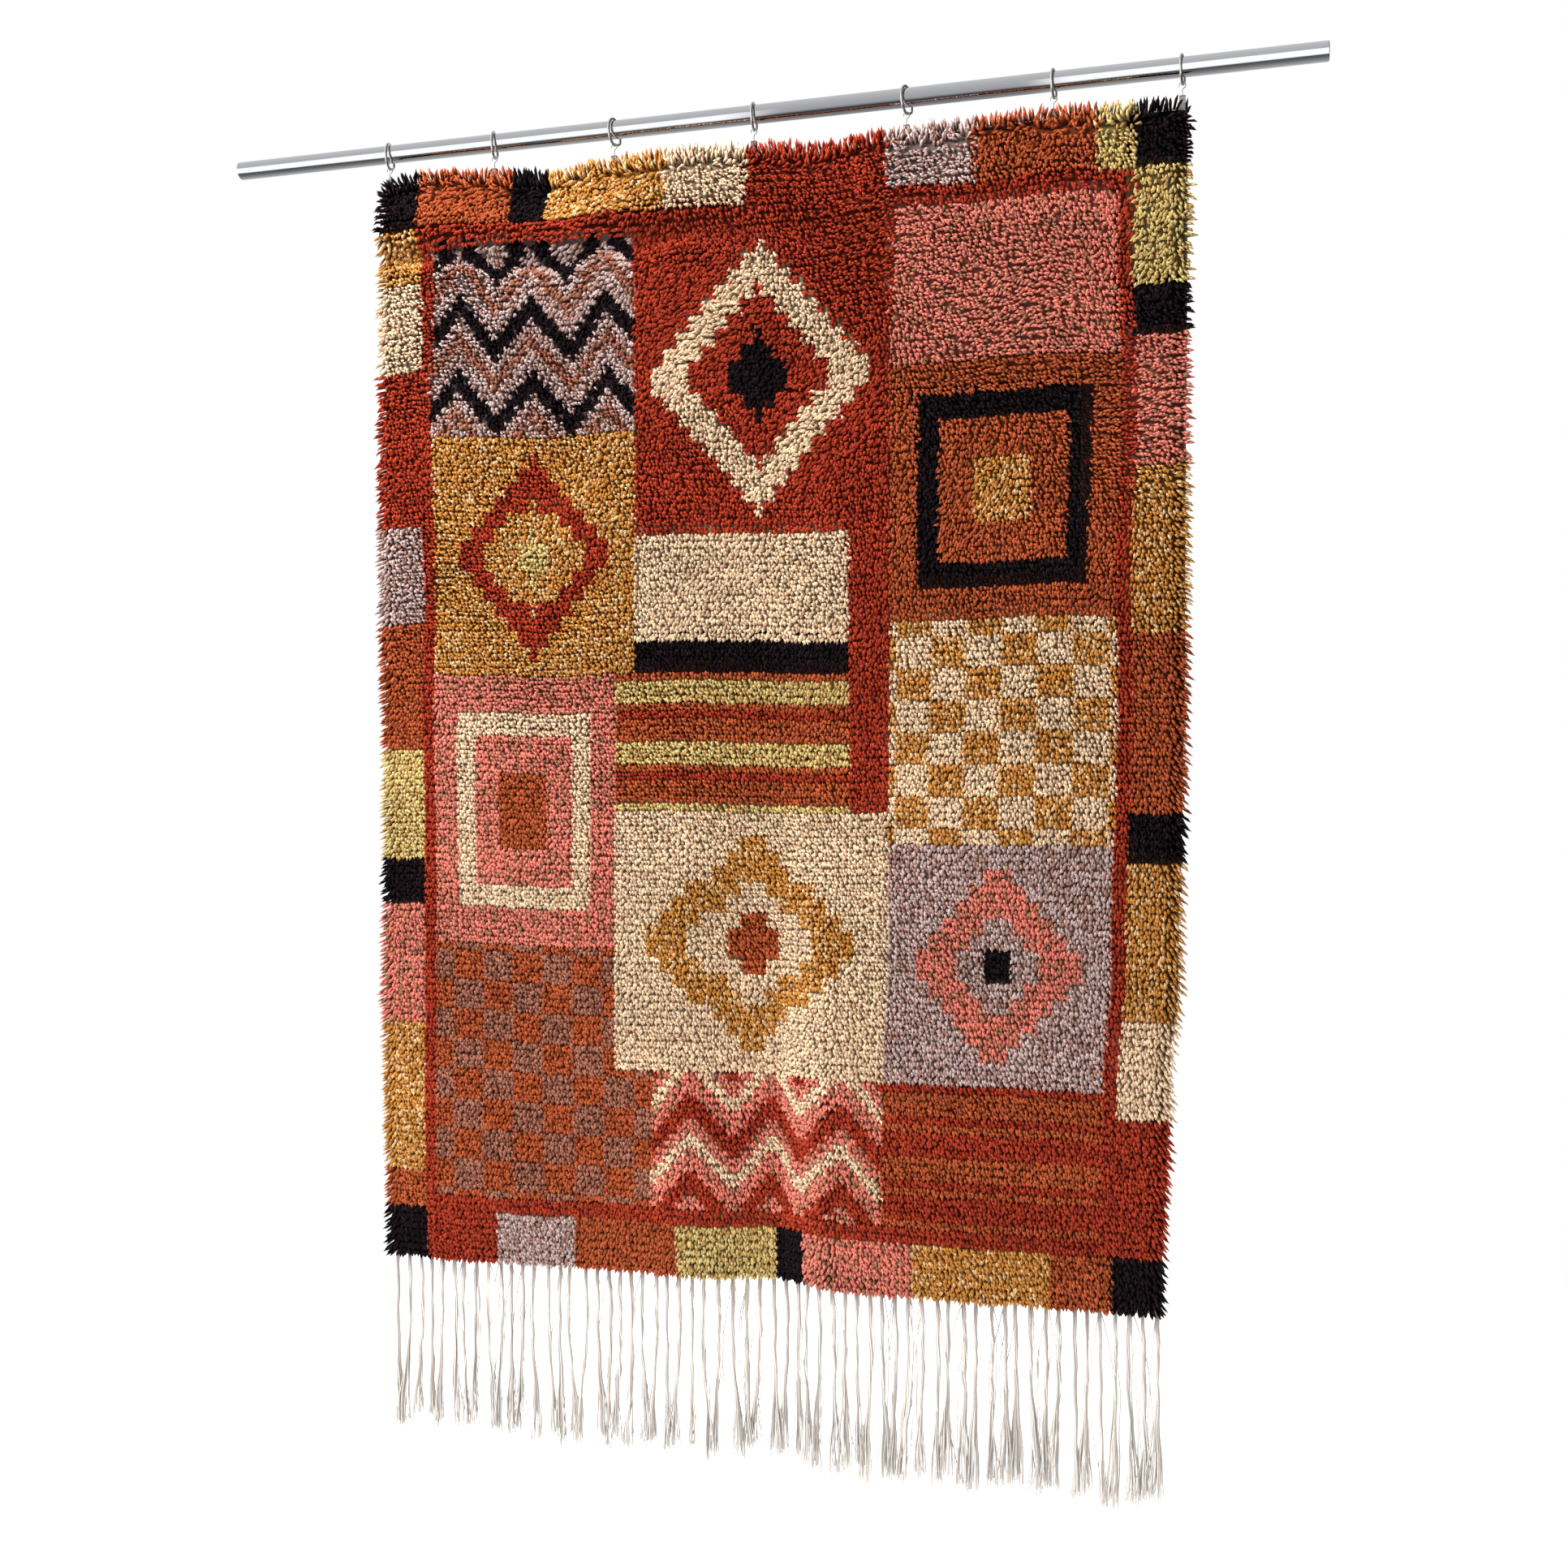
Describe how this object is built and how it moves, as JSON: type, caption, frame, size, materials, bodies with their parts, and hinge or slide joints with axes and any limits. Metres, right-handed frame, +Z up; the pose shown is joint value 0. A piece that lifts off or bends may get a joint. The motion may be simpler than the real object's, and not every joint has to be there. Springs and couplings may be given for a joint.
{
  "type": "rya rug on a hanging rod",
  "caption": "Hand-knotted wool rya rug with a long cotton warp fringe, hung face-on from a plain round rod by wire rings, hooks and sheet-metal clips.",
  "frame": {"origin": "on the rod's axis, over the middle of the rug", "axes": "X along the rod, to the viewer's right; +Y away from the viewer, so the pile faces -Y; +Z up"},
  "size_m": [1.853, 0.0838, 2.2478],
  "materials": {
    "chrome": "polished chrome plate",
    "ring_steel": "bright drawn steel wire",
    "hook_wire": "thin bright wire",
    "clip_sheet": "pressed sheet steel",
    "wool": "dense cut wool pile in rust, brick, coral, ochre, yellow, beige, mauve and black",
    "cotton": "undyed plied cotton warp"
  },
  "bodies": {
    "root": {"rod": "chrome", "ring_1": "ring_steel", "ring_2": "ring_steel", "ring_3": "ring_steel", "ring_4": "ring_steel", "ring_5": "ring_steel", "ring_6": "ring_steel", "ring_7": "ring_steel", "hook_1": "hook_wire", "hook_2": "hook_wire", "hook_3": "hook_wire", "hook_4": "hook_wire", "hook_5": "hook_wire", "hook_6": "hook_wire", "hook_7": "hook_wire", "clip_1": "clip_sheet", "clip_2": "clip_sheet", "clip_3": "clip_sheet", "clip_4": "clip_sheet", "clip_5": "clip_sheet", "clip_6": "clip_sheet", "clip_7": "clip_sheet", "rug": "wool", "fringe": "cotton"}
  },
  "joints": []
}
